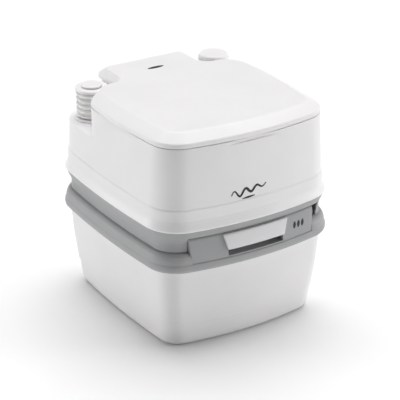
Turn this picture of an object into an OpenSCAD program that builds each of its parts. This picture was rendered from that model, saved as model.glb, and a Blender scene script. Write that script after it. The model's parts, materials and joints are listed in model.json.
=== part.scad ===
// Portable cassette toilet: a waste tank that carries a flush-water tank with bowl, seat and lid.
// Millimetres. +Z is up, the front faces -Y, and the origin is under the middle of the base.

/* [Overall] */
// Width over the lip of the upper body
overall_w = 383; // [378:1:386]
// Depth over the lip of the upper body, front to back
overall_d = 427; // [424:1:432]
// Height of the closed lid's flat top
lid_top_z = 411; // [409:1:412]
// Height of the parting line between the two sections, at the sides
split_z = 196; // [195:1:197]
// Wall thickness of the moulded shells
wall = 3; // [2.6:0.1:3.2]

/* [Plan outline] */
// Radius of the bowed front
front_bow_r = 676; // [660:1:800]
// Radius of the bowed sides
side_bow_r = 1713; // [1600:1:1800]
// Radius of the bowed back
rear_bow_r = 900; // [860:1:960]
// Plan radius of the front corners
front_corner_r = 60; // [54:1:60]
// Plan radius of the rear corners
rear_corner_r = 62; // [58:1:63]

/* [Lid and seat] */
// Inset of the lid's outline from the lip
lid_inset = 13.5; // [13:0.5:14]
// Width of the bevel along the lid's front and sides
bevel_w = 25; // [22:1:26]
// Half width of the narrow rear part of the lid, between pump and filler
tongue_half_w = 92; // [91:1:93]
// Where the wide part of the lid ends
wide_rear_y = 105; // [103:1:105]
// Height of the seat and lid hinge axis
hinge_z = 391; // [390.5:0.5:391.5]
// Distance of the hinge axis behind the middle
hinge_y = 190; // [189:1:190]

/* [Pump and filler] */
// Height of the shelves that carry the pump and the filler
shelf_z = 334; // [333:1:335]
// Outer radius of the bellows' ridges
bellows_r = 30; // [29:0.5:30.5]
// Number of ridges on the bellows
bellows_ridges = 5; // [4:1:6]
// Outer radius of the filler cap's brim
filler_cap_r = 29.3; // [28.8:0.1:29.5]

/* [Valve] */
// Radius of the outlet between bowl and waste tank
outlet_r = 45; // [43:1:45]
// Distance of the outlet behind the middle
outlet_y = 20; // [18:1:20]
// Half width of the blade that closes the outlet
blade_half_w = 52; // [51:1:52]

/* [Hidden] */
$fn = 48;
white = [0.93, 0.93, 0.92];
pale = [0.86, 0.86, 0.86];
grey = [0.58, 0.59, 0.6];
rubber = [0.12, 0.12, 0.13];
steel = [0.75, 0.76, 0.78];
half_w = overall_w / 2;
half_d = overall_d / 2;
gap = 0.3;            // running gap between pieces that only meet
front_bow = 10.5;     // half the angle that the bowed front turns through
side_bow = 4.2;       // the same for the sides
rear_bow = 7.8;       // and the back
pump_at = [-131, 143];
filler_at = [134.5, 143];
spout_at = [-38, 150];
vent_at = [30, 150];
lid_bottom_z = 390;
body_top_z = 388.8;
tank_sharper = -5;    // change of the corners' radius on the waste tank
base_rounder = 14;    // growing by this much towards its base
upper_rounder = 10;   // and on the upper section
deck_z = 372;         // floor of the recess that the seat lies in
lip_z = 236.3;        // underside of the upper body's lip
plate_z = 224;        // underside of the flush tank
fascia_top_z = 220.5;
fascia_bottom_z = 174.8;
fascia_back_y = -165;
blade_z = 201;        // underside of the blade
blade_t = 4;
housing_top_z = 210;
head_z = 390;         // underside of the pump's head
seal_top_z = 213.4;
window_top_z = 217;   // top of the rear opening that the spout swings through
spout_z = 190;        // height of the spout's tube

// ---- plan outlines: polygons whose corners are [x, y, radius, segments], counter-clockwise ----

function unit(v) = v / norm(v);
function xy(p) = [p[0], p[1]];
function meet(p, d, q, e) = p + d * cross(q - p, e) / cross(d, e);

// The polygon with each edge moved inwards by t, and each corner's radius changed to suit.
function inset(P, t) = let(n = len(P)) [for (i = [0 : n - 1]) let(
    a = xy(P[(i + n - 1) % n]), b = xy(P[i]), c = xy(P[(i + 1) % n]),
    d = unit(b - a), e = unit(c - b), turn = cross(d, e),
    v = meet(a + t * [-d[1], d[0]], d, b + t * [-e[1], e[0]], e))
    [v[0], v[1], turn > 0 ? max(P[i][2] - t, 2) : P[i][2] + t, P[i][3]]];

// The arc that rounds corner i of a polygon.
function corner_arc(P, i) = let(n = len(P), p = xy(P[i]), r = P[i][2],
    u = unit(xy(P[(i + n - 1) % n]) - p), v = unit(xy(P[(i + 1) % n]) - p),
    half = acos(u * v) / 2, c = p + unit(u + v) * r / sin(half),
    s = p + u * r / tan(half) - c, f = p + v * r / tan(half) - c,
    a0 = atan2(s[1], s[0]), sweep = (atan2(f[1], f[0]) - a0 + 540) % 360 - 180)
    [for (k = [0 : P[i][3]]) c + r * [cos(a0 + sweep * k / P[i][3]), sin(a0 + sweep * k / P[i][3])]];

function rounded(P) = [for (i = [0 : len(P) - 1]) each (P[i][2] == 0 ? [xy(P[i])] : corner_arc(P, i))];
function ring(P, t, more = 0) = rounded([for (c = inset(P, t)) [c[0], c[1], max(c[2] + more, 2), c[3]]]);
function at_z(points, z) = [for (p = points) [p[0], p[1], z]];
function ellipse_ring(a, b, cy, z, n = 48) = [for (i = [0 : n - 1]) [a * cos(360 * i / n), cy + b * sin(360 * i / n), z]];
// An ellipse with one point for each point of an outline, in the same direction from its centre.
function hole_ring(points, a, b, cy, z) = [for (p = points) let(w = atan2(p[1] - cy, p[0])) [a * cos(w), cy + b * sin(w), z]];

// Corner where a bowed side meets a bowed end, in the quadrant of positive x and y.
function side_at(hw) = hw + side_bow_r * (1 / cos(side_bow) - 1);
function end_at(hd, r, bow) = hd + r * (1 / cos(bow) - 1);
function corner_x(hw, e, bow) = (side_at(hw) - tan(side_bow) * e) / (1 - tan(side_bow) * tan(bow));
function corner_xy(hw, e, bow) = [corner_x(hw, e, bow), e - tan(bow) * corner_x(hw, e, bow)];

front_e = end_at(half_d, front_bow_r, front_bow);
rear_e = end_at(half_d, rear_bow_r, rear_bow);
fc = corner_xy(half_w, front_e, front_bow);
rc = corner_xy(half_w, rear_e, rear_bow);
body_poly = [[0, -front_e, front_bow_r, 8], [fc[0], -fc[1], front_corner_r, 6], [side_at(half_w), 0, side_bow_r, 4],
    [rc[0], rc[1], rear_corner_r, 6], [0, rear_e, rear_bow_r, 6], [-rc[0], rc[1], rear_corner_r, 6],
    [-side_at(half_w), 0, side_bow_r, 4], [-fc[0], -fc[1], front_corner_r, 6]];

// Lid and seat: as wide as the body in front, narrow between pump and filler behind.
function plus(c, r) = [c[0], c[1], c[2] + r, c[3]];
function top_poly(t, corner, wide_y, tongue_w, rear_y, r1, r2, r3) = let(F = inset(body_poly, lid_inset + t),
    x = half_w - lid_inset - t) [F[0], plus(F[1], upper_rounder), [x + 3.5, -20, 900 - t, 4], [x - corner, wide_y, r1, 8],
    [tongue_w, wide_y, r2, 5], [tongue_w, rear_y, r3, 5], [-tongue_w, rear_y, r3, 5], [-tongue_w, wide_y, r2, 5],
    [-(x - corner), wide_y, r1, 8], [-(x + 3.5), -20, 900 - t, 4], plus(F[7], upper_rounder)];
lid_poly = top_poly(0, 3.5, wide_rear_y, tongue_half_w, 202, 60, 18, 20);
crown_poly = top_poly(bevel_w, 3, wide_rear_y - 2, tongue_half_w - 9, 180, 45, 27, 8);
seat_poly = top_poly(0, 3.5, wide_rear_y, tongue_half_w, 168, 60, 18, 20);

// The lid's outline part way from its rim, at 0, to its flat crown, at 1.
function lid_ring(s, t, z) = at_z(ring(lid_poly * (1 - s) + crown_poly * s, t), z);
function lid_rings(profile) = [for (p = profile) lid_ring(p[1], p[2], p[0])];

// ---- solids from rings of points ----

function quads(n, a, b) = [for (i = [0 : n - 1]) let(j = (i + 1) % n)
    each [[a * n + i, b * n + i, b * n + j], [a * n + i, b * n + j, a * n + j]]];

// Rings of equal count, skinned one to the next, and capped at the first and the last.
module loft(rings) {
    n = len(rings[0]);
    m = len(rings);
    polyhedron([for (r = rings) each r], concat(
        [[for (i = [0 : n - 1]) i]],
        [for (k = [0 : m - 2]) each quads(n, k, k + 1)],
        [[for (i = [n - 1 : -1 : 0]) (m - 1) * n + i]]));
}

// The same, with the last ring joined to the first.
module loft_loop(rings) {
    n = len(rings[0]);
    m = len(rings);
    polyhedron([for (r = rings) each r], [for (k = [0 : m - 1]) each quads(n, k, (k + 1) % m)]);
}

// Rings of one polygon from a profile of [z, inset] pairs.
function rings(P, profile) = [for (s = profile) at_z(ring(P, s[1]), s[0])];

// The same for the body, whose corners are rounder above the waist and sharper on the tank.
function more_at(z, t) = z < 162.5 && t > 11 ? tank_sharper + base_rounder * min(1, max(0, (100 - z) / 85)) : upper_rounder * min(1, max(0, (z - 203) / 24));
function body_rings(profile) = [for (s = profile) at_z(ring(body_poly, s[1], more_at(s[0], s[1])), s[0])];

module tube(r_out, r_in, z0, z1) {
    difference() {
        translate([0, 0, z0]) cylinder(r = r_out, h = z1 - z0);
        translate([0, 0, z0 - 1]) cylinder(r = r_in, h = z1 - z0 + 2);
    }
}

module box(low, high) { translate(low) cube(high - low); }

// A prism along Y, from y0 to y1, of a polygon given as [x, z] pairs.
module prism_y(points, y0, y1) {
    translate([0, y1, 0]) rotate([90, 0, 0]) linear_extrude(height = y1 - y0) polygon(points);
}

module along_x(x0, x1) { translate([x0, 0, 0]) rotate([0, 90, 0]) linear_extrude(height = x1 - x0) children(); }

// A pan-head screw, head up, with its shank's end at the origin's depth below.
module screw(shank_r, shank_l, head_r, head_h) {
    translate([0, 0, -shank_l]) cylinder(r = shank_r, h = shank_l + 0.5);
    difference() {
        cylinder(r = head_r, h = head_h);
        for (a = [0, 90]) rotate([0, 0, a]) box([-head_r * 0.6, -0.5, head_h - 1], [head_r * 0.6, 0.5, head_h + 1]);
    }
}

// ---- waste tank ----

module waste_tank() {
    outer = [[0, 39], [2, 33.5], [7.5, 28.5], [15, 26.8], [45.5, 23.6], [47.5, 22], [100, 16.6], [156.6, 11.8]];
    spigot = [[156.6, 15.4], [162, 15.4], [162, 18.4]];
    inner = [[100, 20.6], [47, 26], [16, 31], [8, 34.5], [5, 42]];
    color(white) difference() {
        loft(body_rings(concat(outer, spigot, inner)));
        for (x = [-1, 1], y = [-1, 1]) translate([x * 115, y * 140, 0]) cylinder(r = 14.2, h = 3);
    }
}

module tank_feet() {
    color(rubber) for (x = [-1, 1], y = [-1, 1]) translate([x * 115, y * 140, 0]) {
        cylinder(r = 14, h = 2.9);
    }
}

// Side of the upward step that the front fascia fills, at a height.
function fascia_side(z) = 127 + (z - fascia_bottom_z) * 0.09;

module front_space(grow) {
    z1 = fascia_top_z + 20;
    prism_y([[-fascia_side(fascia_bottom_z) - grow, fascia_bottom_z - grow], [fascia_side(fascia_bottom_z) + grow,
        fascia_bottom_z - grow], [fascia_side(z1) + grow, z1], [-fascia_side(z1) - grow, z1]],
        -half_d - 10, fascia_back_y + grow);
}

module tank_frame() {
    under = [[193, 17.5], [191.5, 11.5], [189, 8.6], [183, 6.4], [176, 5.2], [166, 4], [162.6, 5], [162.4, 15]];
    roll = [[157, 14.8], [156.9, 11.5], [157.6, 8], [159, 3.6], [162, 0.9], [167, 0], [174.5, 0.8], [175.5, 2],
        [183, 3.2], [189, 5.2], [193.5, 8.6]];
    rim = [[split_z - gap, 12.8], [split_z, 18.6], [204, 18.6], [204, 21.6], [split_z, 21.6]];
    color(grey) difference() {
        loft(body_rings(concat(under, roll, rim)));
        front_space(gap);
        translate([0, outlet_y, 180]) cylinder(r = outlet_r, h = 30);
        box([-150.4, 119.6, 167.3], [-7.6, 240, 230]);
        translate([vent_at[0], vent_at[1], 180]) cylinder(r = 8, h = 30);
        box([63, 189, 183], [107, 230, 230]);
    }
}

module front_fascia() {
    color(grey) difference() {
        intersection() {
            loft(body_rings([[fascia_bottom_z, 3], [185, 4], [200, 5.5], [214, 7], [218, 7.6],
                [fascia_top_z, 9.5]]));
            front_space(0);
        }
        box([-58, -230, 177.5], [58, fascia_back_y - 6, 217]);
        for (s = [-1, 1]) box([s * 90 - 29, -189, 170], [s * 90 + 29, fascia_back_y + 1, 217]);
        box([-blade_half_w - 1, fascia_back_y - 8, blade_z - 0.8], [blade_half_w + 1, fascia_back_y + 1, blade_z + blade_t + 0.8]);
    }
}

module valve_housing() {
    color(pale) difference() {
        box([-62, fascia_back_y + 1.5, split_z], [62, 86, housing_top_z]);
        box([-blade_half_w - 0.6, fascia_back_y - 1, blade_z - 0.6], [blade_half_w + 0.6, 80, blade_z + blade_t + 0.8]);
        translate([0, outlet_y, split_z - 2]) cylinder(r = outlet_r, h = 30);
        for (x = [-57.5, 57.5], y = [-150, -40, 75]) translate([x, y, split_z - 2]) cylinder(r = 1.7, h = 30);
    }
}

module housing_screws() {
    color(steel) for (x = [-57.5, 57.5], y = [-150, -40, 75]) translate([x, y, housing_top_z]) {
        screw(1.6, 13.5, 3.4, 2.4);
    }
}

module outlet_seal() {
    color(rubber) translate([0, outlet_y, 0]) rotate_extrude($fn = 64) {
        polygon([[outlet_r + 1, housing_top_z], [outlet_r + 11, housing_top_z], [outlet_r + 11, housing_top_z + 1.5],
            [outlet_r + 6, seal_top_z], [outlet_r + 3, seal_top_z], [outlet_r + 1, housing_top_z + 2]]);
    }
}

// ---- valve: handle and blade slide out together ----

module valve_handle() {
    face = [[190, 0.6], [192, 0.2], [205, 1.8], [217, 3.6], [219, 4.6]];
    back = [[189, 3.6], [205, 4.9], [220, 6.9]];
    color(white) {
        intersection() {
            difference() {
                loft(body_rings(face));
                loft(body_rings(back));
            }
            prism_y([[-59, 190], [59, 190], [68, 219], [-68, 219]], -half_d - 5, -180);
        }
        box([-46, -206, blade_z + blade_t], [46, -176, blade_z + blade_t + 3]);
    }
}

module valve_blade() {
    color(pale) difference() {
        box([-blade_half_w, -187, blade_z], [blade_half_w, 76, blade_z + blade_t]);
        for (x = [-30, 30]) translate([x, -182, blade_z - 1]) cylinder(r = 1.7, h = 3.2);
    }
}

module blade_screws() {
    color(steel) for (x = [-30, 30]) translate([x, -182, blade_z + blade_t + 3]) screw(0.01, 0.01, 3.2, 2.2);
}

// ---- pouring spout, vent and latch at the back ----

module spout_tray() {
    color(grey) difference() {
        box([-150, 120, 163.7], [-8, 182, split_z]);
        box([-147.5, 122.5, 167], [-10.5, 190, split_z + 5]);
        translate([spout_at[0], spout_at[1], 160]) cylinder(r = 19.6, h = 10);
    }
}

module spout_neck() {
    color(pale) translate([spout_at[0], spout_at[1], 0]) tube(19.5, 16.5, 158, 173);
}

module spout_neck_seal() {
    color(rubber) translate([spout_at[0], spout_at[1], 0]) tube(19.4, 16.8, 173, 174.6);
}

module pour_spout() {
    end_x = 84;
    color(grey) translate([spout_at[0], spout_at[1], 0]) difference() {
        union() {
            translate([0, 0, 167.4]) cylinder(r = 24, h = 45);
            translate([0, 0, spout_z]) rotate([0, -90, 0]) cylinder(r = 18, h = end_x);
            translate([0, 0, spout_z]) rotate([0, -90, 0]) cylinder(r = 20, h = 62);
        }
        translate([0, 0, 160]) cylinder(r = 19.8, h = 15);
        translate([0, 0, 160]) cylinder(r = 16.5, h = 48);
        translate([0, 0, spout_z]) rotate([0, -90, 0]) cylinder(r = 15, h = end_x + 5);
    }
}

module spout_cap_seal() {
    color(rubber) translate([spout_at[0], spout_at[1], spout_z]) rotate([0, -90, 0]) tube(17.8, 14.5, 84.2, 85.8);
}

module spout_cap() {
    color(white) translate([spout_at[0], spout_at[1], spout_z]) rotate([0, -90, 0]) {
        difference() {
            union() {
                translate([0, 0, 66]) cylinder(r = 20.6, h = 23);
                for (k = [0 : 11]) rotate([0, 0, k * 30]) translate([20, 0, 66]) cylinder(r = 1.4, h = 20, $fn = 16);
            }
            translate([0, 0, 60]) cylinder(r = 18.4, h = 26);
        }
    }
}

module vent_collar() {
    color(pale) translate([vent_at[0], vent_at[1], 0]) difference() {
        union() {
            translate([0, 0, 188]) cylinder(r = 7.8, h = 9);
            translate([0, 0, split_z]) cylinder(r = 12, h = 2);
        }
        translate([0, 0, 180]) cylinder(r = 4.3, h = 30);
        translate([0, 0, split_z]) cylinder(r = 7, h = 5);
    }
}

module vent_spring() {
    color(steel) translate([vent_at[0], vent_at[1], 0]) for (z = [196.8 : 1.5 : 201.4]) {
        translate([0, 0, z]) rotate_extrude() translate([5.4, 0]) circle(r = 0.5, $fn = 16);
    }
}

module vent_button() {
    color(grey) translate([vent_at[0], vent_at[1], 0]) {
        translate([0, 0, 184]) cylinder(r = 4, h = 19);
        translate([0, 0, 202]) cylinder(r = 10, h = 4);
    }
}

module latch_lever() {
    color(grey) difference() {
        union() {
            box([66, 196, 184.5], [104, 200.5, 216]);
            box([66, 191.5, 187], [104, 197, 191]);
            translate([0, 194, 216]) rotate([0, 90, 0]) translate([0, 0, 66]) cylinder(r = 5, h = 38);
            box([66, 194, 212], [104, 200.5, 216]);
        }
        translate([60, 194, 216]) rotate([0, 90, 0]) cylinder(r = 2.05, h = 60);
    }
}

module latch_pin() {
    color(steel) translate([59, 194, 216]) rotate([0, 90, 0]) cylinder(r = 2, h = 52);
}

module latch_springs() {
    color(steel) for (x = [63.4, 64.8, 105.2, 106.6]) translate([x, 194, 216]) rotate([0, 90, 0]) {
        rotate_extrude() translate([3.2, 0]) circle(r = 0.5, $fn = 16);
    }
}

// ---- upper section ----

// The rear corners above the shelves, for the pump on the left and the filler on the right.
module notch(side, grow, z0) {
    g = grow;
    y = wide_rear_y + 0.5 - g;
    x = side * (tongue_half_w - g);
    points = [[side * 260, 10, 0, 1], [side * 181, 10, 0, 1], [side * (181 - g), y, 68 - g, 8],
        [x, y, 17.5 + g, 5], [x, 200.3 - g, 18 - g / 2, 4], [side * 64, 201.5 - g, 0, 1], [side * 64, 240, 0, 1],
        [side * 260, 240, 0, 1]];
    translate([0, 0, z0]) linear_extrude(height = 420 - z0) polygon(rounded(points));
}

module upper_body() {
    outer = [[plate_z, 15.5], [lip_z, 6.6], [lip_z, 2.4], [238, 0.4], [240.5, 0], [244, 1.4], [250, 4], [256, 5.8],
        [275.2, 6.6], [277.5, 8.3], [345, 11], [body_top_z, lid_inset]];
    void = [[plate_z + wall, 19], [240, 9.4], [256, 9], [277.5, 11.3], [345, 14], [deck_z - wall, 15.6]];
    color(white) {
        difference() {
            loft(body_rings(outer));
            difference() {
                loft(body_rings(void));
                for (s = [-1, 1]) notch(s, wall, shelf_z - wall);
            }
            for (s = [-1, 1]) notch(s, 0, shelf_z);
            difference() {
                loft(body_rings([[deck_z, lid_inset + wall], [420, lid_inset + wall]]));
                for (s = [-1, 1]) notch(s, wall, shelf_z - wall);
            }
            translate([0, 0, deck_z - 20]) linear_extrude(height = 40) polygon([for (p = ellipse_ring(107, 133, -48, 0)) xy(p)]);
            translate([0, outlet_y, plate_z - 5]) cylinder(r = 53, h = 20);
            translate([pump_at[0], pump_at[1], shelf_z - 10]) cylinder(r = 20, h = 20);
            translate([filler_at[0], filler_at[1], shelf_z - 10]) cylinder(r = 20, h = 20);
            box([-120, 174, 375], [120, 230, 420]);
            prism_y([[-62, 382.4], [62, 382.4], [73, 392], [-73, 392]], -half_d - 5, -half_d + lid_inset + 2);
        }
        for (s = [-1, 1]) hinge_post(s);
    }
}

module hinge_post(s) {
    difference() {
        union() {
            box([s * 62 - 5, hinge_y - 6, deck_z - 1], [s * 62 + 5, hinge_y + 6, hinge_z]);
            translate([s * 62 - 5, hinge_y, hinge_z]) rotate([0, 90, 0]) cylinder(r = 6, h = 10);
        }
        translate([s * 62 - 8, hinge_y, hinge_z]) rotate([0, 90, 0]) cylinder(r = 3.05, h = 16);
    }
}

module upper_skirt() {
    low = split_z + gap;
    outer = [[low, 12.6], [203, 13.2], [212, 12.6], [219, 10], [227, 5.6], [233, 3.2], [236, 2.4]];
    inner = [[236, 5.2], [227, 8.8], [219, 13.2], [212, 15.8], [low, 16]];
    color(grey) {
        difference() {
            loft_loop(body_rings(concat(outer, inner)));
            prism_y([[-131.7, 190], [143, 190], [152, 222], [-131.7, 222]], -230, -120);
            box([-150.4, 119.6, 190], [-7.6, 240, window_top_z]);
            box([62.2, 180, 190], [107.8, 240, 222.4]);
            translate([50, 194, 216]) rotate([0, 90, 0]) cylinder(r = 2.04, h = 70);
        }
        for (x = [60.5, 109.5]) difference() {
            box([x - 1.5, 188, 208], [x + 1.5, 200, 223]);
            translate([x - 5, 194, 216]) rotate([0, 90, 0]) cylinder(r = 2.04, h = 10);
        }
    }
}

module skirt_screws() {
    color(steel) for (s = [-1, 1], y = [-110, 60]) translate([s * 172, y, 223.6]) mirror([0, 0, 1]) screw(0.01, 0.01, 3.4, 2.2);
}

module bowl() {
    n = 48;
    out = [[seal_top_z + 0.4, 50, 50, outlet_y], [238, 50, 50, outlet_y], [262, 63, 69, 3], [300, 86, 101, -24],
        [340, 100, 124, -42], [deck_z, 106, 132, -48], [deck_z, 114, 140, -48], [deck_z + 2.4, 113, 139, -48]];
    in = [[deck_z + 2.4, 104, 130, -48], [340, 97, 121, -42], [300, 83, 98, -24], [262, 60, 66, 3],
        [238, 45.5, 45.5, outlet_y], [seal_top_z + 0.4, 45, 45, outlet_y]];
    color(white) difference() {
        loft_loop([for (s = concat(out, in)) ellipse_ring(s[1], s[2], s[3], s[0], n)]);
        translate(nozzle_at) rotate([90, 0, nozzle_turn]) translate([0, 0, -30]) cylinder(r = 7.2, h = 40);
    }
}

nozzle_at = [-57.5, 59, 336];
nozzle_turn = 60;   // turns the nozzle's axis from -Y towards the pump

module flush_nozzle() {
    color(pale) translate(nozzle_at) rotate([90, 0, nozzle_turn]) difference() {
        translate([0, 0, -14]) cylinder(r = 7, h = 30);
        translate([0, 0, -15]) cylinder(r = 4.5, h = 27);
    }
}

module flush_pipe() {
    reach = norm([pump_at[0] - nozzle_at[0], pump_at[1] - nozzle_at[1]]) - 14;
    turn = atan2(pump_at[1] - nozzle_at[1], pump_at[0] - nozzle_at[0]);
    color(pale) translate([nozzle_at[0], nozzle_at[1], 322]) rotate([0, 0, turn]) rotate([0, 90, 0]) tube(6, 4.5, 14, reach);
}

module hinge_pins() {
    color(steel) for (s = [-1, 1]) translate([s * 62.5 - 17, hinge_y, hinge_z]) rotate([0, 90, 0]) cylinder(r = 3, h = 34);
}

// ---- bellows pump ----

module pump_collar() {
    color(white) translate([pump_at[0], pump_at[1], 0]) tube(32.6, 25.5, shelf_z, shelf_z + 4);
}

module pump_bellows() {
    low = shelf_z + 4;
    pitch = (head_z - low) / bellows_ridges;
    function wider(z) = (z - low) / (head_z - low) * 0.8 - 0.8;
    steps = [[0, -4], [0.22, -2.6], [0.42, 0], [0.58, 0], [0.78, -2.6]];
    outline = [for (k = [0 : bellows_ridges - 1], q = steps) let(z = low + (k + q[0]) * pitch) [bellows_r + q[1] + wider(z), z]];
    points = concat([[22.5, low]], outline, [[bellows_r - 4, head_z], [22.5, head_z]]);
    color(white) translate([pump_at[0], pump_at[1], 0]) rotate_extrude($fn = 64) polygon(points);
}

module pump_dip_tube() {
    color(pale) translate([pump_at[0], pump_at[1], 0]) {
        tube(8, 5, 236, shelf_z - 1);
        tube(19.5, 5, shelf_z - 3, shelf_z + 1);
    }
}

module pump_head() {
    color(white) translate([pump_at[0], pump_at[1], head_z]) rotate_extrude($fn = 64) {
        polygon([[0, 0], [29.6, 0], [30.8, 0.8], [31.2, 2.2], [30.6, 3.6], [28.4, 4.6], [20, 5.6], [0, 5.8]]);
    }
}

module pump_knob() {
    color(white) translate([pump_at[0], pump_at[1], head_z + 5.8]) rotate_extrude($fn = 64) {
        polygon([[0, 0], [15, 0], [15.4, 0.7], [18.8, 0.8], [19.7, 2], [19.2, 3.4], [17, 4.4], [0, 5]]);
    }
}

// ---- filler ----

module filler_neck() {
    color(white) translate([filler_at[0], filler_at[1], 0]) {
        tube(22.5, 19.5, shelf_z + 0.2, 388);
        tube(27, 19.5, shelf_z, shelf_z + 3);
        for (z = [378, 383]) tube(23.6, 20, z, z + 1.8);
    }
}

module filler_cap_seal() {
    color(rubber) translate([filler_at[0], filler_at[1], 0]) tube(23.2, 19.6, 388.2, 390);
}

module filler_cap() {
    r = filler_cap_r;
    color(white) translate([filler_at[0], filler_at[1], 0]) difference() {
        union() {
            translate([0, 0, 376]) cylinder(r = r - 3.2, h = 21);
            translate([0, 0, 395]) cylinder(r1 = r - 3.2, r2 = r, h = 2.4);
            translate([0, 0, 397.4]) cylinder(r = r, h = 3);
            translate([0, 0, 400.4]) cylinder(r1 = r, r2 = r - 2.6, h = 6.4);
            translate([0, 0, 406.8]) cylinder(r1 = r - 2.6, r2 = r - 4.6, h = 1.4);
        }
        translate([0, 0, 370]) cylinder(r = 24.2, h = 20);
        translate([0, 0, 389]) cylinder(r = 19, h = 6);
        for (k = [0 : 7]) rotate([0, 0, k * 45 + 10]) translate([r + 4.6, 0, 399]) cylinder(r = 6.4, h = 12, $fn = 24);
        for (k = [0 : 23]) rotate([0, 0, k * 15]) translate([r - 2.4, 0, 370]) cylinder(r = 1.2, h = 24, $fn = 12);
    }
}

// ---- seat and lid ----

module seat_ring() {
    low = 375.6;
    pts = ring(seat_poly, 9);
    outer = [[low, 9], [386, 9], [390, 11.5], [391.5, 16]];
    hole = [[391.5, 99, 125], [389, 96.5, 122.5], [384, 96, 122], [low, 97, 123]];
    under = [[low, 100.5, 126.5], [388, 100.5, 126.5]];
    color(white) {
        difference() {
            loft_loop(concat(rings(seat_poly, outer), [for (s = hole) hole_ring(pts, s[1], s[2], -48, s[0])],
                [for (s = under) hole_ring(pts, s[1], s[2], -48, s[0])], rings(seat_poly, [[388, 12.5], [low, 12.5]])));
            for (s = [-1, 1]) box([s * 51 - 6.5, 150, 374], [s * 51 + 6.5, 172, 395]);
        }
        for (s = [-1, 1]) difference() {
            union() {
                box([s * 51 - 4.5, 140, 384], [s * 51 + 4.5, hinge_y, 390]);
                box([s * 51 - 4.5, 180, 386], [s * 51 + 4.5, hinge_y, hinge_z + 5]);
                translate([s * 51 - 4.5, hinge_y, hinge_z]) rotate([0, 90, 0]) cylinder(r = 6, h = 9);
            }
            translate([s * 51 - 8, hinge_y, hinge_z]) rotate([0, 90, 0]) cylinder(r = 3.05, h = 16);
        }
    }
}

module seat_bumpers() {
    color(rubber) for (s = [-1, 1], y = [-120, 30]) translate([s * 132, y, 0]) {
        translate([0, 0, deck_z + gap]) cylinder(r = 6, h = 3.3);
    }
}

module lid_shell() {
    // each [height, way from rim to crown, inset]
    ceiling = [[lid_top_z - 3, 1, 5], [lid_top_z - 3.8, 1, 2.8], [395.4, 0, 3.4], [lid_bottom_z, 0, 2.8]];
    outer = [[lid_bottom_z, 0, 0], [396.5, 0, 0.3], [398.5, 0.06, 0.4], [lid_top_z - 1, 0.94, 0], [lid_top_z, 1, 1.2]];
    color(white) {
        difference() {
            loft(lid_rings(concat(ceiling, outer)));
            for (s = [-1, 1]) box([s * 62 - 6, 182, 380], [s * 62 + 6, 215, 400]);
        }
        for (s = [-1, 1]) difference() {
            union() {
                along_x(s * 73 - 4, s * 73 + 4) polygon([[-hinge_z, hinge_y - 5.5], [-405, hinge_y - 5.5], [-401.4, hinge_y + 3],
                    [-hinge_z, hinge_y + 3]]);
                translate([s * 73 - 4, hinge_y, hinge_z]) rotate([0, 90, 0]) cylinder(r = 5.5, h = 8);
            }
            translate([s * 73 - 8, hinge_y, hinge_z]) rotate([0, 90, 0]) cylinder(r = 3.05, h = 16);
        }
    }
}

module lid_bumpers() {
    color(rubber) for (s = [-1, 1], y = [-120, 20]) translate([s * 132, y, 391.8]) cylinder(r = 5, h = 16);
}

waste_tank();
tank_feet();
tank_frame();
front_fascia();
valve_housing();
housing_screws();
outlet_seal();
valve_handle();
valve_blade();
blade_screws();
spout_tray();
spout_neck();
spout_neck_seal();
pour_spout();
spout_cap();
spout_cap_seal();
vent_collar();
vent_spring();
vent_button();
upper_body();
upper_skirt();
skirt_screws();
bowl();
flush_nozzle();
flush_pipe();
hinge_pins();
pump_collar();
pump_bellows();
pump_dip_tube();
pump_head();
pump_knob();
filler_neck();
filler_cap_seal();
filler_cap();
latch_lever();
latch_pin();
latch_springs();
seat_ring();
seat_bumpers();
lid_shell();
lid_bumpers();
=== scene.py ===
import json
import math

import bmesh
import bpy
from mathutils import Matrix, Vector


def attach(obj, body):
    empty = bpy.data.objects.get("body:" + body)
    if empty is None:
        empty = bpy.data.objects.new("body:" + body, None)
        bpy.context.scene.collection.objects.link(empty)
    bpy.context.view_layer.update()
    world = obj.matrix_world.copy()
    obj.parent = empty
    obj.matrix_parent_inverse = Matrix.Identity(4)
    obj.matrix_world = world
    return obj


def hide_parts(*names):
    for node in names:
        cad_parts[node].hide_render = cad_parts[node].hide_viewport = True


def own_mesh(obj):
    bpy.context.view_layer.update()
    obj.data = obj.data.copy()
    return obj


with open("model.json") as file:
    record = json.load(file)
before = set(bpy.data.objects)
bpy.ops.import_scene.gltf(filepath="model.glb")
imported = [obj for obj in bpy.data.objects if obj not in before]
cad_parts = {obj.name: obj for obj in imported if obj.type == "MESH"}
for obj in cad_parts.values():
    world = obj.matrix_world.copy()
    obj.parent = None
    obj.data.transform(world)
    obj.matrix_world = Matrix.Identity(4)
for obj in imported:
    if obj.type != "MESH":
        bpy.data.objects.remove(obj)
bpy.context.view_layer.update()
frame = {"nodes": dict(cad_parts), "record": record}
nodes = frame["nodes"]

MM = 0.001
FINE = 3                      # how many times finer the outlines are than the CAD's
HALF_W, HALF_D = 191.5, 213.5
FRONT_R, SIDE_R, REAR_R = 676.0, 1713.0, 900.0
FRONT_BOW, SIDE_BOW, REAR_BOW = (math.radians(a) for a in (10.5, 4.2, 7.8))
LID_INSET = 13.5
TONGUE_W = 92.0
WIDE_Y = 105.0
HINGE_Y, HINGE_Z = 190.0, 391.0
PUMP = (-131.0, 143.0)
FILLER = (134.5, 143.0)
OUTLET_Y = 20.0
SHELF_Z = 334.0
HEAD_Z = 390.0
TANK_SHARPER, BASE_ROUNDER, UPPER_ROUNDER = -5.0, 14.0, 10.0
DECK_Z = 372.0
SPLIT_Z = 196.0
BOWL_Y = -48.0
PIN_HOLE_R = 3.05             # the bores that take the hinge pins
POST_X, ARM_X, EAR_X = 62, 51, 73
CAP_R = 29.3
BEVEL_RUN = 25                # how far the lid slopes in from its rim to its crown
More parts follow.
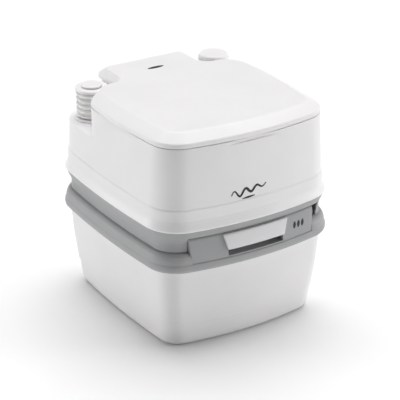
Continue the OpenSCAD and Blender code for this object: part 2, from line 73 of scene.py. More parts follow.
FASCIA_LOW, FASCIA_TOP, FASCIA_BACK = 174.8, 220.5, -165.0


# ---- outlines ----

def unit(v):
    length = math.hypot(v[0], v[1])
    return (v[0] / length, v[1] / length)


def inset(poly, t):
    """The outline moved inward by t, with its corner radii changed to suit."""
    out = []
    for i, b in enumerate(poly):
        a, c = poly[i - 1], poly[(i + 1) % len(poly)]
        d = unit((b[0] - a[0], b[1] - a[1]))
        e = unit((c[0] - b[0], c[1] - b[1]))
        turn = d[0] * e[1] - d[1] * e[0]
        p = (b[0] - t * d[1], b[1] + t * d[0])
        q = (b[0] - t * e[1], b[1] + t * e[0])
        k = ((q[0] - p[0]) * e[1] - (q[1] - p[1]) * e[0]) / turn
        r = max(b[2] - t, 2.0) if turn > 0 else b[2] + t
        out.append((p[0] + d[0] * k, p[1] + d[1] * k, r, b[3]))
    return out


def corner(poly, i):
    """The arc that rounds corner i of an outline of (x, y, radius, steps) points."""
    p, r = poly[i], poly[i][2]
    n = poly[i][3] * FINE
    if r == 0:
        return [(p[0], p[1])]
    a, c = poly[i - 1], poly[(i + 1) % len(poly)]
    u = unit((a[0] - p[0], a[1] - p[1]))
    v = unit((c[0] - p[0], c[1] - p[1]))
    half = math.acos(u[0] * v[0] + u[1] * v[1]) / 2
    w = unit((u[0] + v[0], u[1] + v[1]))
    centre = (p[0] + w[0] * r / math.sin(half), p[1] + w[1] * r / math.sin(half))
    s = (p[0] + u[0] * r / math.tan(half) - centre[0], p[1] + u[1] * r / math.tan(half) - centre[1])
    f = (p[0] + v[0] * r / math.tan(half) - centre[0], p[1] + v[1] * r / math.tan(half) - centre[1])
    a0 = math.atan2(s[1], s[0])
    sweep = (math.atan2(f[1], f[0]) - a0 + 3 * math.pi) % (2 * math.pi) - math.pi
    return [(centre[0] + r * math.cos(a0 + sweep * k / n), centre[1] + r * math.sin(a0 + sweep * k / n))
            for k in range(n + 1)]


def outline(poly, t=0.0, more=0.0):
    shape = [(c[0], c[1], max(c[2] + more, 2.0), c[3]) for c in inset(poly, t)]
    return [p for i in range(len(shape)) for p in corner(shape, i)]


def side_at(half_w):
    return half_w + SIDE_R * (1 / math.cos(SIDE_BOW) - 1)


def end_at(half_d, r, bow):
    return half_d + r * (1 / math.cos(bow) - 1)


def meeting(half_w, end, bow):
    x = (side_at(half_w) - math.tan(SIDE_BOW) * end) / (1 - math.tan(SIDE_BOW) * math.tan(bow))
    return x, end - math.tan(bow) * x


FRONT_E, REAR_E = end_at(HALF_D, FRONT_R, FRONT_BOW), end_at(HALF_D, REAR_R, REAR_BOW)
FCX, FCY = meeting(HALF_W, FRONT_E, FRONT_BOW)
RCX, RCY = meeting(HALF_W, REAR_E, REAR_BOW)
BODY = [(0, -FRONT_E, FRONT_R, 8), (FCX, -FCY, 60, 6), (side_at(HALF_W), 0, SIDE_R, 4), (RCX, RCY, 62, 6),
        (0, REAR_E, REAR_R, 6), (-RCX, RCY, 62, 6), (-side_at(HALF_W), 0, SIDE_R, 4), (-FCX, -FCY, 60, 6)]


def more_at(z, t):
    """The body's corners are rounder above the waist and sharper on the tank."""
    if z < 162.5 and t > 11:
        return TANK_SHARPER + BASE_ROUNDER * min(1.0, max(0.0, (100 - z) / 85))
    return UPPER_ROUNDER * min(1.0, max(0.0, (z - 203) / 24))


def top_outline(t, corner_in, wide_y, tongue_w, rear_y, r1, r2, r3):
    """The outline of the lid or the seat: wide in front, with a narrower tongue at the back."""
    ends = inset(BODY, LID_INSET + t)
    x = HALF_W - LID_INSET - t
    plus = lambda c: (c[0], c[1], c[2] + UPPER_ROUNDER, c[3])
    return [ends[0], plus(ends[1]), (x + 3.5, -20, 900 - t, 4), (x - corner_in, wide_y, r1, 8),
            (tongue_w, wide_y, r2, 5), (tongue_w, rear_y, r3, 5), (-tongue_w, rear_y, r3, 5),
            (-tongue_w, wide_y, r2, 5), (-(x - corner_in), wide_y, r1, 8),
            (-(x + 3.5), -20, 900 - t, 4), plus(ends[7])]


LID = top_outline(0, 3.5, WIDE_Y, TONGUE_W, 202, 60, 18, 20)
CROWN = top_outline(BEVEL_RUN, 3, WIDE_Y - 2, TONGUE_W - 9, 180, 45, 27, 8)
SEAT = top_outline(0, 3.5, WIDE_Y, TONGUE_W, 168, 60, 18, 20)


def lid_ring(s, t, z):
    """The lid's outline part way from its rim, at 0, to its flat crown, at 1."""
    mixed = [tuple(a[j] * (1 - s) + b[j] * s for j in range(3)) + (a[3],) for a, b in zip(LID, CROWN)]
    return [(x, y, z) for x, y in outline(mixed, t)]


# ---- meshes ----

def soften(profile, closed=False):
    """A profile of (z, inset[, radius]) points with each corner rounded by its radius."""
    usual_r, steps = 0.7, 4
    out = []
    n = len(profile)
    for i, b in enumerate(profile):
        if not closed and i in (0, n - 1):
            out.append(b[:2])
            continue
        a, c = profile[i - 1], profile[(i + 1) % n]
        r = b[2] if len(b) > 2 else usual_r
        la, lc = math.dist(a[:2], b[:2]), math.dist(c[:2], b[:2])
        u = ((a[0] - b[0]) / la, (a[1] - b[1]) / la)
        v = ((c[0] - b[0]) / lc, (c[1] - b[1]) / lc)
        half = math.acos(max(-1, min(1, u[0] * v[0] + u[1] * v[1]))) / 2
        if r <= 0 or half > math.radians(89.4):
            out.append(b[:2])
            continue
        reach = min(r / math.tan(half), 0.48 * la, 0.48 * lc)
        for k in range(steps + 1):
            s = k / steps
            wa, wb, wc = (1 - s) ** 2, 2 * s * (1 - s), s * s
            out.append(tuple(wa * (b[j] + u[j] * reach) + wb * b[j] + wc * (b[j] + v[j] * reach)
                             for j in (0, 1)))
    return out


def new_object(name, mesh):
    made = bpy.data.objects.new(name, mesh)
    bpy.context.scene.collection.objects.link(made)
    return made


def solid(name, points, faces, drop_slivers=False):
    mesh = bpy.data.meshes.new(name)
    mesh.from_pydata([(x * MM, y * MM, z * MM) for x, y, z in points], [], faces)
    work = bmesh.new()
    work.from_mesh(mesh)
    bmesh.ops.remove_doubles(work, verts=work.verts, dist=1e-6)
    if drop_slivers:
        bmesh.ops.dissolve_degenerate(work, edges=work.edges, dist=1e-7)
    bmesh.ops.recalc_face_normals(work, faces=work.faces)
    work.to_mesh(mesh)
    work.free()
    return new_object(name, mesh)


def skin(name, loops, closed=False, mirror=None):
    """Rings of equal count joined one to the next. Where mirror is given, the caps join each
    point i to its twin across x = 0, point mirror - i."""
    n, m = len(loops[0]), len(loops)
    points = [p for loop in loops for p in loop]
    faces = []
    for k in range(m if closed else m - 1):
        a, b = k * n, (k + 1) % m * n
        faces += [(a + i, a + (i + 1) % n, b + (i + 1) % n, b + i) for i in range(n)]
    if not closed and mirror is None:
        faces += [tuple(range(n)), tuple((m - 1) * n + i for i in range(n))]
    elif not closed:
        for base in (0, (m - 1) * n):
            twin = lambda i: base + (mirror - i) % n
            for i in range(n):
                j = (i + 1) % n
                quad = (base + i, base + j, twin(j), twin(i))
                if loops[0][i][0] >= -1e-6 and loops[0][j][0] >= -1e-6:
                    faces.append(tuple(dict.fromkeys(quad)))
    return solid(name, points, [f for f in faces if len(f) > 2])


def rings(poly, profile):
    return [[(x, y, z) for x, y in outline(poly, t)] for z, t in profile]


def loft(name, poly, profile, closed=False):
    return skin(name, [[(x, y, z) for x, y in outline(poly, t, more_at(z, t))] for z, t in profile], closed)


def oval(a, b, cy, z, n=120):
    return [(a * math.cos(2 * math.pi * i / n), cy + b * math.sin(2 * math.pi * i / n), z) for i in range(n)]


def prism(name, points, low, high, axis="z"):
    """A prism: points are (x, y) for axis z, (x, z) for axis y and (y, z) for axis x."""
    place = {"z": lambda p, h: (p[0], p[1], h),
             "y": lambda p, h: (p[0], h, p[1]),
             "x": lambda p, h: (h, p[0], p[1])}[axis]
    return skin(name, [[place(p, low) for p in points], [place(p, high) for p in points]])


def block(name, low, high):
    base = [(low[0], low[1]), (high[0], low[1]), (high[0], high[1]), (low[0], high[1])]
    return prism(name, base, low[2], high[2])


def turned(name, profile, at=(0, 0, 0), axis="z", n=96):
    """A solid of revolution of a closed profile of (radius, height) points."""
    points, faces = [], []
    m = len(profile)
    for i in range(n):
        c, s = math.cos(2 * math.pi * i / n), math.sin(2 * math.pi * i / n)
        for r, h in profile:
            p = {"z": (r * c, r * s, h), "y": (r * c, h, r * s), "x": (h, r * c, r * s)}[axis]
            points.append((p[0] + at[0], p[1] + at[1], p[2] + at[2]))
    for i in range(n):
        j = (i + 1) % n
        faces += [(i * m + k, j * m + k, j * m + (k + 1) % m, i * m + (k + 1) % m) for k in range(m)]
    return solid(name, points, faces, drop_slivers=True)


def settle(made):
    """Applies an object's modifiers to its mesh."""
    graph = bpy.context.evaluated_depsgraph_get()
    graph.update()
    mesh = bpy.data.meshes.new_from_object(made.evaluated_get(graph))
    made.modifiers.clear()
    made.data = mesh


def combine(made, tool, how="DIFFERENCE"):
    """Cuts, adds or keeps the shared part of a tool, which is then removed."""
    step = made.modifiers.new("combine", "BOOLEAN")
    step.operation, step.object, step.solver = how, tool, "EXACT"
    settle(made)
    bpy.data.objects.remove(tool)
    return made


def smooth(made, edge=0.0, angle=35.0):
    """Rounds the edges sharper than an angle by a bevel, and shades the rest smoothly."""
    if edge:
        step = made.modifiers.new("edges", "BEVEL")
        step.limit_method, step.angle_limit = "ANGLE", math.radians(angle)
        step.width, step.segments, step.use_clamp_overlap = edge * MM, 3, True
        step.miter_outer = "MITER_ARC"
        settle(made)
    made.data.shade_smooth()
    made.data.set_sharp_from_angle(angle=math.radians(38))
    return made


# ---- materials ----

def moulded(name, colour, rough=0.42, grain=0.10, grain_size=0.0011, wave=0.05, drift=0.03):
    """Moulded plastic: slow drift of tone, fine grain, slight waviness of the wall, and uneven gloss."""
    material = bpy.data.materials.new(name)
    material.use_nodes = True
    tree = material.node_tree
    shader = tree.nodes["Principled BSDF"]
    link = tree.links.new
    place = tree.nodes.new("ShaderNodeTexCoord").outputs["Object"]

    def noise(scale, detail, roughness=0.5):
        made = tree.nodes.new("ShaderNodeTexNoise")
        made.inputs["Scale"].default_value = scale
        made.inputs["Detail"].default_value = detail
        made.inputs["Roughness"].default_value = roughness
        link(place, made.inputs["Vector"])
        return made.outputs["Fac"]

    def ramp(source, low, high, at=(0.3, 0.7)):
        made = tree.nodes.new("ShaderNodeValToRGB")
        made.color_ramp.elements[0].position, made.color_ramp.elements[1].position = at
        made.color_ramp.elements[0].color, made.color_ramp.elements[1].color = low, high
        link(source, made.inputs["Fac"])
        return made.outputs["Color"]

    slow = noise(9.0, 3.0)
    darker = tuple(c * (1 - drift) for c in colour) + (1,)
    lighter = tuple(min(1, c * (1 + drift / 3)) for c in colour) + (1,)
    link(ramp(slow, darker, lighter), shader.inputs["Base Color"])
    uneven = noise(60.0, 4.0, 0.6)
    low, high = rough - 0.05, rough + 0.06
    link(ramp(uneven, (low, low, low, 1), (high, high, high, 1)), shader.inputs["Roughness"])
    coarse = tree.nodes.new("ShaderNodeBump")
    coarse.inputs["Strength"].default_value = wave
    coarse.inputs["Distance"].default_value = 0.002
    link(noise(22.0, 2.0), coarse.inputs["Height"])
    fine = tree.nodes.new("ShaderNodeBump")
    fine.inputs["Strength"].default_value = grain
    fine.inputs["Distance"].default_value = 0.0002
    link(noise(1 / grain_size, 2.0, 0.6), fine.inputs["Height"])
    link(coarse.outputs["Normal"], fine.inputs["Normal"])
    link(fine.outputs["Normal"], shader.inputs["Normal"])
    shader.inputs["Specular IOR Level"].default_value = 0.45
    return material


def metal(name, colour, rough=0.3):
    material = moulded(name, colour, rough, grain=0.15, grain_size=0.0005, wave=0.0, drift=0.12)
    material.node_tree.nodes["Principled BSDF"].inputs["Metallic"].default_value = 1.0
    return material


WHITE = moulded("white_moulded", (0.90, 0.888, 0.894), 0.40, grain=0.06, wave=0.05)
LID_WHITE = moulded("white_lid", (0.90, 0.888, 0.894), 0.36, grain=0.05, wave=0.03)
GLOSS = moulded("white_glossy", (0.91, 0.91, 0.90), 0.17, grain=0.02, wave=0.02, drift=0.015)
SOFT = moulded("white_soft", (0.86, 0.86, 0.85), 0.46, grain=0.12, wave=0.02)
PALE = moulded("pale_moulded", (0.78, 0.785, 0.79), 0.40, grain=0.10, wave=0.02)
GREY = moulded("grey_grained", (0.40, 0.405, 0.41), 0.52, grain=0.35, grain_size=0.0009, wave=0.03,
               drift=0.05)
BLACK = moulded("black_rubber", (0.02, 0.02, 0.021), 0.62, grain=0.4, grain_size=0.0007, drift=0.2)
STEEL = metal("zinc_plated", (0.62, 0.63, 0.65), 0.3)
PRINT = moulded("dark_print", (0.022, 0.022, 0.025), 0.55, grain=0.05, drift=0.1)
BY_SLOT = {"white_plastic": WHITE, "white_gloss": GLOSS, "white_soft": SOFT, "pale_plastic": PALE,
           "grey_plastic": GREY, "black_rubber": BLACK, "steel": STEEL}

node_slot = {s["node"]: s["material_slot"] for s in frame["record"]["subparts"]}
for node_name, node in nodes.items():
    node.data.materials.clear()
    node.data.materials.append(BY_SLOT[node_slot[node_name]])

node_body = {n: b for b, members in frame["record"]["behaviour"]["bodies"].items() for n in members}


def fit(made, *stands_for, material=None, body=None):
    """Gives a piece its material and its body, and hides the CAD nodes it stands for."""
    first = stands_for[0] if stands_for else None
    made.data.materials.clear()
    slot = node_slot[first] if first else None
    made.data.materials.append(material or BY_SLOT[slot])
    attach(made, body or node_body[first])
    if slot:
        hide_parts(*stands_for)
    return made


# ---- waste tank ----

tank = loft("waste_tank_shell", BODY, soften(
    [(0, 60, 0), (0, 40, 3), (2, 33.5, 6), (7.5, 28.5, 8), (16, 26.6, 8), (45.2, 24, 0.5), (47, 22, 0.5),
     (100, 16.6, 40), (156.6, 11.8, 0.5), (156.6, 15.4, 0.3), (162, 15.4, 0.3), (162, 18.4, 0.3),
     (100, 20.6, 20), (47, 26, 8), (16, 31, 8), (8, 34.5, 6), (5, 42, 3), (5, 60, 0)]))
fit(smooth(tank), "waste_tank")


def front_space(grow):
    """The room that the fascia takes in the band's front."""
    top = FASCIA_TOP + 20
    side = lambda z: 127 + (z - FASCIA_LOW) * 0.09
    foot_w, top_w = side(FASCIA_LOW) + grow, side(top) + grow
    outer = [(-foot_w, FASCIA_LOW - grow), (foot_w, FASCIA_LOW - grow), (top_w, top), (-top_w, top)]
    return prism("front_space", outer, -HALF_D - 10, FASCIA_BACK + grow, axis="y")


rim = loft("tank_rim", BODY, soften(
    [(193, 17.5, 0), (191.5, 11.5), (189, 8.6), (183, 6.4), (176, 5.2), (166, 4), (162.6, 5), (162.4, 15),
     (157, 14.8), (156.9, 11.5, 1), (157.6, 8, 3), (159.4, 3.4, 4), (162.6, 0.8, 4), (167, 0, 5),
     (172.5, 0.6, 3), (175, 2.2, 1.5), (183, 3.2, 6), (189, 5.2, 6), (193.5, 8.6, 3), (195.7, 12.8, 1.5),
     (196, 18.6, 0.6), (204, 18.6, 0.6), (204, 21.6, 0.6), (196, 21.6, 0)]))
combine(rim, front_space(0.3))
combine(rim, turned("hole", [(0, 180), (45, 180), (45, 230), (0, 230)], (0, OUTLET_Y, 0)))
combine(rim, block("window", (-150.4, 119.6, 167.3), (-7.6, 240, 230)))
combine(rim, turned("hole", [(0, 180), (8, 180), (8, 230), (0, 230)], (30, 150, 0), n=48))
combine(rim, block("latch_slot", (63, 189, 183), (107, 230, 230)))
fit(smooth(rim, 0.8), "tank_frame")

fascia = loft("fascia_panel", BODY, soften(
    [(FASCIA_LOW, 3, 0), (185, 4, 20), (200, 5.5, 20), (214, 7, 10), (218, 7.6, 3), (FASCIA_TOP, 9.5, 0)]))
combine(fascia, front_space(0), "INTERSECT")
combine(fascia, block("pocket", (-58, -230, 177.5), (58, FASCIA_BACK - 6, 217)))
for s in (-1, 1):
    combine(fascia, block("hollow", (s * 90 - 29, -189, 170), (s * 90 + 29, FASCIA_BACK + 1, 217)))
combine(fascia, block("blade_slot", (-53, FASCIA_BACK - 8, 200.2), (53, FASCIA_BACK + 1, 205.8)))
fit(smooth(fascia, 1.0), "front_fascia")

handle = loft("pull_handle", BODY, soften(
    [(189.4, 1.6, 0), (190.4, 0.5, 1), (192, 0.2, 2), (205, 1.8, 20), (216.5, 3.4, 3), (218.6, 4.4, 1),
     (219.4, 5.6, 0)]))
combine(handle, loft("behind", BODY, [(180, 3.6), (189, 4.2), (205, 5.4), (230, 8.4)]))
handle_front = [(-59, 189), (59, 189), (68, 219.5), (-68, 219.5)]
combine(handle, prism("handle_sides", handle_front, -HALF_D - 5, -180, axis="y"), "INTERSECT")
combine(handle, block("tab", (-46, -207, 205), (46, -176, 208)), "UNION")
fit(smooth(handle, 0.9), "valve_handle")


# ---- upper section ----

def notch(side, grow, low):
    """The corner cut away behind the lid's wide part, where the pump or the filler stands."""
    g = grow
    x, y = side * (TONGUE_W - g), WIDE_Y + 0.5 - g
    points = [(side * 260, 10, 0, 1), (side * 181, 10, 0, 1), (side * (181 - g), y, 68 - g, 8),
              (x, y, 17.5 + g, 5), (x, 200.3 - g, 18 - g / 2, 4), (side * 64, 201.5 - g, 0, 1),
              (side * 64, 240, 0, 1), (side * 260, 240, 0, 1)]
    flat = [p for i in range(len(points)) for p in corner(points, i)]
    return prism("notch", flat, low, 420)


def barrel(x, half, outer, inner=0):
    """A round knuckle, or the cutter for a bore, on the hinge's axis."""
    return turned("barrel", [(inner, x - half), (outer, x - half), (outer, x + half), (inner, x + half)],
                  (0, HINGE_Y, HINGE_Z), axis="x", n=48)


body = loft("flush_tank", BODY, soften(
    [(224, 15.5, 0), (236.3, 6.6, 1), (236.3, 2.4, 0.8), (238, 0.4, 1), (240.5, 0, 1.5), (244, 1.4, 3),
     (250, 4, 6), (256, 5.8, 8), (275.2, 6.6, 0.6), (277.3, 8.3, 0.6), (345, 11, 30), (388.8, 13.5, 0)]))
void = loft("void", BODY, [(227, 19), (240, 9.4), (256, 9), (277.5, 11.3), (345, 14), (369, 15.6)])
recess = loft("recess", BODY, [(DECK_Z, LID_INSET + 3), (420, LID_INSET + 3)])
for s in (-1, 1):
    combine(void, notch(s, 3, SHELF_Z - 3))
    combine(recess, notch(s, 3, SHELF_Z - 3))
combine(body, void)
for s in (-1, 1):
    combine(body, notch(s, 0, SHELF_Z))
combine(body, recess)
combine(body, skin("bowl_hole", [oval(107, 133, BOWL_Y, DECK_Z + h) for h in (-20, 20)]))
combine(body, turned("outlet_hole", [(0, 219), (53, 219), (53, 239), (0, 239)], (0, OUTLET_Y, 0)))
shelf_hole = [(0, SHELF_Z - 10), (20, SHELF_Z - 10), (20, SHELF_Z + 10), (0, SHELF_Z + 10)]
for at in (PUMP, FILLER):
    combine(body, turned("shelf_hole", shelf_hole, (at[0], at[1], 0), n=64))
combine(body, block("rear_gap", (-120, 174, 375), (120, 230, 420)))
scoop = [(-62, 382.4, 3, 2), (62, 382.4, 3, 2), (73, 392, 0, 1), (-73, 392, 0, 1)]
scoop_edge = [p for i in range(4) for p in corner(scoop, i)]
combine(body, prism("finger_scoop", scoop_edge, -HALF_D - 5, -HALF_D + LID_INSET + 2, axis="y"))
for s in (-1, 1):
    post = block("post", (s * POST_X - 5, HINGE_Y - 6, DECK_Z - 1), (s * POST_X + 5, HINGE_Y + 6, HINGE_Z))
    knuckle = barrel(s * POST_X, 5, 6, PIN_HOLE_R)
    combine(post, barrel(s * POST_X, 8, PIN_HOLE_R))
    combine(post, knuckle, "UNION")
    combine(body, post, "UNION")
fit(smooth(body, 1.4), "upper_body")

skirt_low = SPLIT_Z + 0.3
skirt = loft("grey_skirt", BODY, soften(
    [(skirt_low, 12.6, 0.5), (203, 13.2, 10), (212, 12.6, 10), (219, 10, 12), (227, 5.6, 8), (233, 3.2, 3),
     (236, 2.4, 0.4), (236, 5.2, 0.4), (227, 8.8, 8), (219, 13.2, 10), (212, 15.8, 8), (skirt_low, 16, 0.4)],
    closed=True), closed=True)
skirt_gap = [(-131.7, 190), (143, 190), (152, 222), (-131.7, 222)]
combine(skirt, prism("front_gap", skirt_gap, -230, -120, axis="y"))
combine(skirt, block("window", (-150.4, 119.6, 190), (-7.6, 240, 217)))
combine(skirt, block("latch_gap", (62.2, 180, 190), (107.8, 240, 222.4)))
for x in (60.5, 109.5):
    combine(skirt, block("lug", (x - 1.5, 188, 208), (x + 1.5, 200, 223)), "UNION")
fit(smooth(skirt, 0.8), "upper_skirt")

outer_wall = [(213.8, 50, 50, OUTLET_Y), (238, 50, 50, OUTLET_Y), (262, 63, 69, 3), (300, 86, 101, -24),
              (340, 100, 124, -42), (DECK_Z, 106, 132, BOWL_Y), (DECK_Z, 114, 140, BOWL_Y),
              (DECK_Z + 2.4, 113, 139, BOWL_Y)]
inner_wall = [(DECK_Z + 2.4, 104, 130, BOWL_Y), (340, 97, 121, -42), (300, 83, 98, -24), (262, 60, 66, 3),
              (238, 45.5, 45.5, OUTLET_Y), (213.8, 45, 45, OUTLET_Y)]
bowl = skin("bowl_liner", [oval(a, b, cy, z) for z, a, b, cy in outer_wall + inner_wall], closed=True)
fit(smooth(bowl), "bowl")


# ---- pump ----

def rounded_profile(points):
    """A closed profile of (radius, height[, corner radius]) points with its corners rounded."""
    return [(r, z) for z, r in soften([(z, r) + tuple(rest) for r, z, *rest in points], closed=True)]


ridges, foot = 5, SHELF_Z + 4
per_ridge = 16
pitch = (HEAD_Z - foot) / ridges
wave = []
for k in range(ridges * per_ridge + 1):
    turn = 2 * math.pi * k / per_ridge
    wider = 0.8 * k / (ridges * per_ridge) - 0.8
    ridge = 2.0 * math.cos(turn) * (1 + 0.18 * math.cos(turn))
    wave.append((28.0 + wider - ridge, foot + pitch * k / per_ridge))
bellows = turned("pump_bellows_skin", [(22.5, foot)] + wave + [(22.5, HEAD_Z)], (PUMP[0], PUMP[1], 0))
fit(smooth(bellows), "pump_bellows")
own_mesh(bellows)
collar = turned("pump_collar_ring", rounded_profile(
    [(25.5, SHELF_Z, 0), (32.6, SHELF_Z, 0.3), (32.6, foot, 1.6), (25.5, foot, 0.4)]), (PUMP[0], PUMP[1], 0))
fit(smooth(collar), "pump_collar")
disc_h = 5.8
disc = turned("pump_flange", rounded_profile(
    [(0, 0, 0), (30, 0, 0.7), (31.2, 2.2, 1.3), (29.4, 4.4, 1.5), (20, 5.6, 4), (0, disc_h, 0)]),
    (PUMP[0], PUMP[1], HEAD_Z))
fit(smooth(disc), "pump_head")
knob = turned("pump_button", rounded_profile(
    [(0, 0, 0), (15, 0, 0.2), (15.4, 0.8, 0.4), (19.6, 0.9, 0.6), (19.6, 3.4, 1.3), (16, 4.6, 3), (0, 5, 0)]),
    (PUMP[0], PUMP[1], HEAD_Z + disc_h))
fit(smooth(knob), "pump_knob")


# ---- filler cap ----

def around_cap(radius, degrees):
    a = math.radians(degrees)
    return (FILLER[0] + radius * math.cos(a), FILLER[1] + radius * math.sin(a), 0)


cap = turned("filler_twist_cap", rounded_profile(
    [(0, 376, 0), (CAP_R - 3.2, 376, 0.5), (CAP_R - 3.2, 395, 0.4), (CAP_R, 397.2, 0.6), (CAP_R, 400.6, 1.5),
     (CAP_R - 2.6, 406.6, 1.2), (CAP_R - 4.6, 408.2, 1.6), (12, 408.2, 0), (0, 408.2, 0)]),
    (FILLER[0], FILLER[1], 0), n=144)
cap_hollow = [(0, 370), (24.2, 370), (24.2, 390), (19, 390), (19, 395), (0, 395)]
combine(cap, turned("inside", cap_hollow, (FILLER[0], FILLER[1], 0)))
for k in range(8):
    at = around_cap(CAP_R + 4.6, k * 45 + 10)
    combine(cap, turned("scallop", [(0, 399), (6.4, 399), (6.4, 411), (0, 411)], at, n=48))
for k in range(24):
    at = around_cap(CAP_R - 2.4, k * 15)
    combine(cap, turned("groove", [(0, 370), (1.2, 370), (1.2, 394), (0, 394)], at, n=16))
fit(smooth(cap, 0.45, angle=40), "filler_cap")


# ---- seat and lid ----

def hole_ring(a, b, z):
    """An oval of the seat's hole, with one point for each point of the seat's outline."""
    out = []
    for x, y in outline(SEAT, 9):
        w = math.atan2(y - BOWL_Y, x)
        out.append((a * math.cos(w), BOWL_Y + b * math.sin(w), z))
    return out


seat_rings = rings(SEAT, soften(
    [(375.6, 12.5, 0), (375.6, 9, 0.4), (385.5, 9, 3), (390.2, 11.5, 3), (391.5, 17, 0)]))
hole_edge = [(391.5, 100, 126), (391.2, 98.6, 124.6), (390.2, 97.2, 123.2), (388.4, 96.3, 122.4),
             (384, 96, 122), (375.6, 97, 123), (375.6, 100.5, 126.5), (388, 100.5, 126.5)]
seat_rings += [hole_ring(a, b, z) for z, a, b in hole_edge]
seat_rings += rings(SEAT, [(388, 12.5)])
seat = skin("seat_frame", seat_rings, closed=True)
for s in (-1, 1):
    combine(seat, block("slot", (s * ARM_X - 6.5, 150, 374), (s * ARM_X + 6.5, 172, 395)))
    arm = block("arm", (s * ARM_X - 4.5, 140, 384), (s * ARM_X + 4.5, HINGE_Y, 390))
    arm_end = block("arm_end", (s * ARM_X - 4.5, 180, 386), (s * ARM_X + 4.5, HINGE_Y, HINGE_Z + 5))
    combine(arm, arm_end, "UNION")
    combine(arm, barrel(s * ARM_X, 4.5, 6), "UNION")
    combine(arm, barrel(s * ARM_X, 8, PIN_HOLE_R))
    combine(seat, arm, "UNION")
fit(smooth(seat, 0.5), "seat_ring")


def gap_to(p, a, b):
    """Distance from a point to the stretch between two others."""
    length = (b[0] - a[0]) ** 2 + (b[1] - a[1]) ** 2
    f = min(1, max(0, ((p[0] - a[0]) * (b[0] - a[0]) + (p[1] - a[1]) * (b[1] - a[1])) / length))
    return math.dist(p, (a[0] + f * (b[0] - a[0]), a[1] + f * (b[1] - a[1])))


def soft_lid(points):
    """Rounds the corners of a profile of (height, way to the crown, inset, radius) points,
    with the way to the crown counted as its real width."""
    across = lambda p: p[1] * BEVEL_RUN + p[2]
    flat = [(p[0], across(p)) for p in points]
    mixed = []
    for z, t in soften([(p[0], across(p), p[3]) for p in points]):
        near = min(range(len(points) - 1), key=lambda i: gap_to((z, t), flat[i], flat[i + 1]))
        a, b = points[near], points[near + 1]
        span = across(b) - across(a)
        f = (t - across(a)) / span if abs(span) > 1e-6 else 0.5
        s = a[1] + (b[1] - a[1]) * min(1, max(0, f))
        mixed.append((z, s, t - s * BEVEL_RUN))
    return mixed


lid_profile = soft_lid(
    [(408, 1, 5, 0), (407.2, 1, 2.8, 1), (395.4, 0, 3.4, 1.5), (390, 0, 2.8, 0.4), (390, 0, 0, 0.5),
     (396.6, 0, 0.3, 1.2), (398.4, 0.06, 0.3, 1.6), (410.2, 0.95, 0, 2.4), (410.9, 1, 2, 1),
     (410.9, 1, 3.2, 0)])
lid = skin("lid_cover", [lid_ring(s, t, z) for z, s, t in lid_profile], mirror=8 * FINE)
for s in (-1, 1):
    combine(lid, block("gap", (s * POST_X - 6, 182, 380), (s * POST_X + 6, 215, 400)))
    ear_side = [(HINGE_Y - 5.5, HINGE_Z), (HINGE_Y + 3, HINGE_Z), (HINGE_Y + 3, 401.4), (HINGE_Y - 5.5, 405)]
    ear = prism("ear", ear_side, s * EAR_X - 4, s * EAR_X + 4, axis="x")
    combine(ear, barrel(s * EAR_X, 4, 5.5), "UNION")
    combine(ear, barrel(s * EAR_X, 8, PIN_HOLE_R))
    combine(lid, ear, "UNION")
fit(smooth(lid, 0.5), "lid_shell", material=LID_WHITE)


# ---- small printed marks, in place of lettering ----

def face_y(x, t):
    """Distance of the bowed front's surface at an inset, as a y value."""
    return -HALF_D + FRONT_R - math.sqrt((FRONT_R - t) ** 2 - x * x)


def stroke(name, path, width, surface, body):
    """A thin raised band that follows a path of (x, z) points on a front surface."""
    points, faces = [], []
    for i, (x, z) in enumerate(path):
        a, b = path[max(i - 1, 0)], path[min(i + 1, len(path) - 1)]
        along = unit((b[0] - a[0], b[1] - a[1]))
        f = i / (len(path) - 1)
        half = width / 2 * (0.35 + 0.65 * math.sin(math.pi * min(0.96, max(0.04, f))))
        for side in (-1, 1):
            for out in (0.12, -0.5):
                px, pz = x - along[1] * half * side, z + along[0] * half * side
                points.append((px, surface(px, pz) - out, pz))
    for i in range(len(path) - 1):
        p, q = i * 4, i * 4 + 4
        faces += [(p, p + 2, q + 2, q), (p + 1, q + 1, q + 3, p + 3),
                  (p, q, q + 1, p + 1), (p + 2, p + 3, q + 3, q + 2)]
    last = (len(path) - 1) * 4
    faces += [(0, 1, 3, 2), (last, last + 2, last + 3, last + 1)]
    return fit(smooth(solid(name, points, faces)), material=PRINT, body=body)


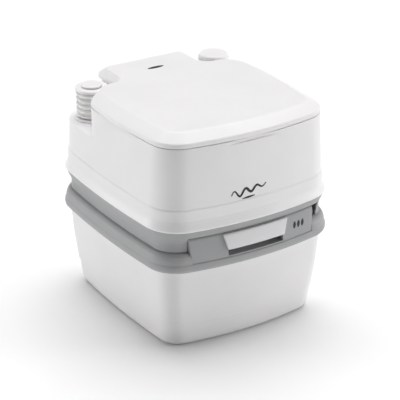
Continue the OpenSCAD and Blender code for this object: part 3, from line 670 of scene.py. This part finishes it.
upper_face = lambda x, z: face_y(x, 8.3 + (z - 277.5) * 0.04)
fascia_face = lambda x, z: face_y(x, 4 + (z - 185) * 0.1)
waves = [(-50 + k * 1.25, 288 + 7 * math.sin(k * 0.34) * (1 - k / 90) + k * 0.16) for k in range(58)]
stroke("front_mark_wave", waves, 4.6, upper_face, "upper")
stroke("front_mark_line", [(-28 + k * 1.2, 278.8 + k * 0.08) for k in range(22)], 3.4, upper_face, "upper")
for k in range(3):
    bar = [(85 + k * 9.5 + 1.6 * j / 6, 192 + 12.5 * j / 6) for j in range(7)]
    stroke("fascia_mark_" + str(k), bar, 6.6, fascia_face, "tank")
lid_mark = turned("lid_mark_oval", [(0, 410.6), (1, 410.6), (1, 410.98), (0, 410.98)], (0, 0, 0), n=64)
for v in lid_mark.data.vertices:
    v.co = (v.co.x * 17.0 - 0.002, v.co.y * 4.6 + 0.129, v.co.z)
fit(smooth(lid_mark), material=PRINT, body="lid")


# ---- floor, light and camera ----

floor_mesh = bpy.data.meshes.new("floor")
floor_corners = [(x, y, 0) for x, y in ((-40, -40), (40, -40), (40, 40), (-40, 40))]
floor_mesh.from_pydata(floor_corners, [], [(0, 1, 2, 3)])
floor = new_object("floor", floor_mesh)
floor.data.materials.append(moulded("floor_pale", (0.97, 0.97, 0.97), 0.9, grain=0.0, wave=0.0, drift=0.004))

scene = bpy.context.scene
world = bpy.data.worlds.new("studio")
scene.world = world
world.use_nodes = True
world.node_tree.nodes["Background"].inputs["Color"].default_value = (1, 1, 1, 1)
world.node_tree.nodes["Background"].inputs["Strength"].default_value = 0.09


def soft_light(name, azimuth, elevation, strength, spread):
    lamp = bpy.data.lights.new(name, "SUN")
    lamp.energy, lamp.angle = strength, math.radians(spread)
    made = bpy.data.objects.new(name, lamp)
    bpy.context.scene.collection.objects.link(made)
    a, e = math.radians(azimuth), math.radians(elevation)
    towards = Vector((math.sin(a) * math.cos(e), -math.cos(a) * math.cos(e), math.sin(e)))
    made.rotation_euler = towards.to_track_quat("Z", "Y").to_euler()


soft_light("left_light", -130, 5, 1.50, 30)
soft_light("right_light", 60, 8, 1.48, 30)
soft_light("top_light", 140, 73, 2.80, 60)

camera = bpy.data.objects.new("camera", bpy.data.cameras.new("camera"))
scene.collection.objects.link(camera)
camera.location = (-1.5834, -2.5149, 1.5710)
aim = Vector((-0.001, 0.001, 0.1994))
camera.rotation_euler = (aim - camera.location).to_track_quat("-Z", "Y").to_euler()
camera.data.lens = 158.96
camera.data.sensor_width = 36
camera.data.shift_x, camera.data.shift_y = 0.0181, -0.0131
camera.data.clip_end = 100
scene.camera = camera
scene.view_settings.view_transform = "Standard"
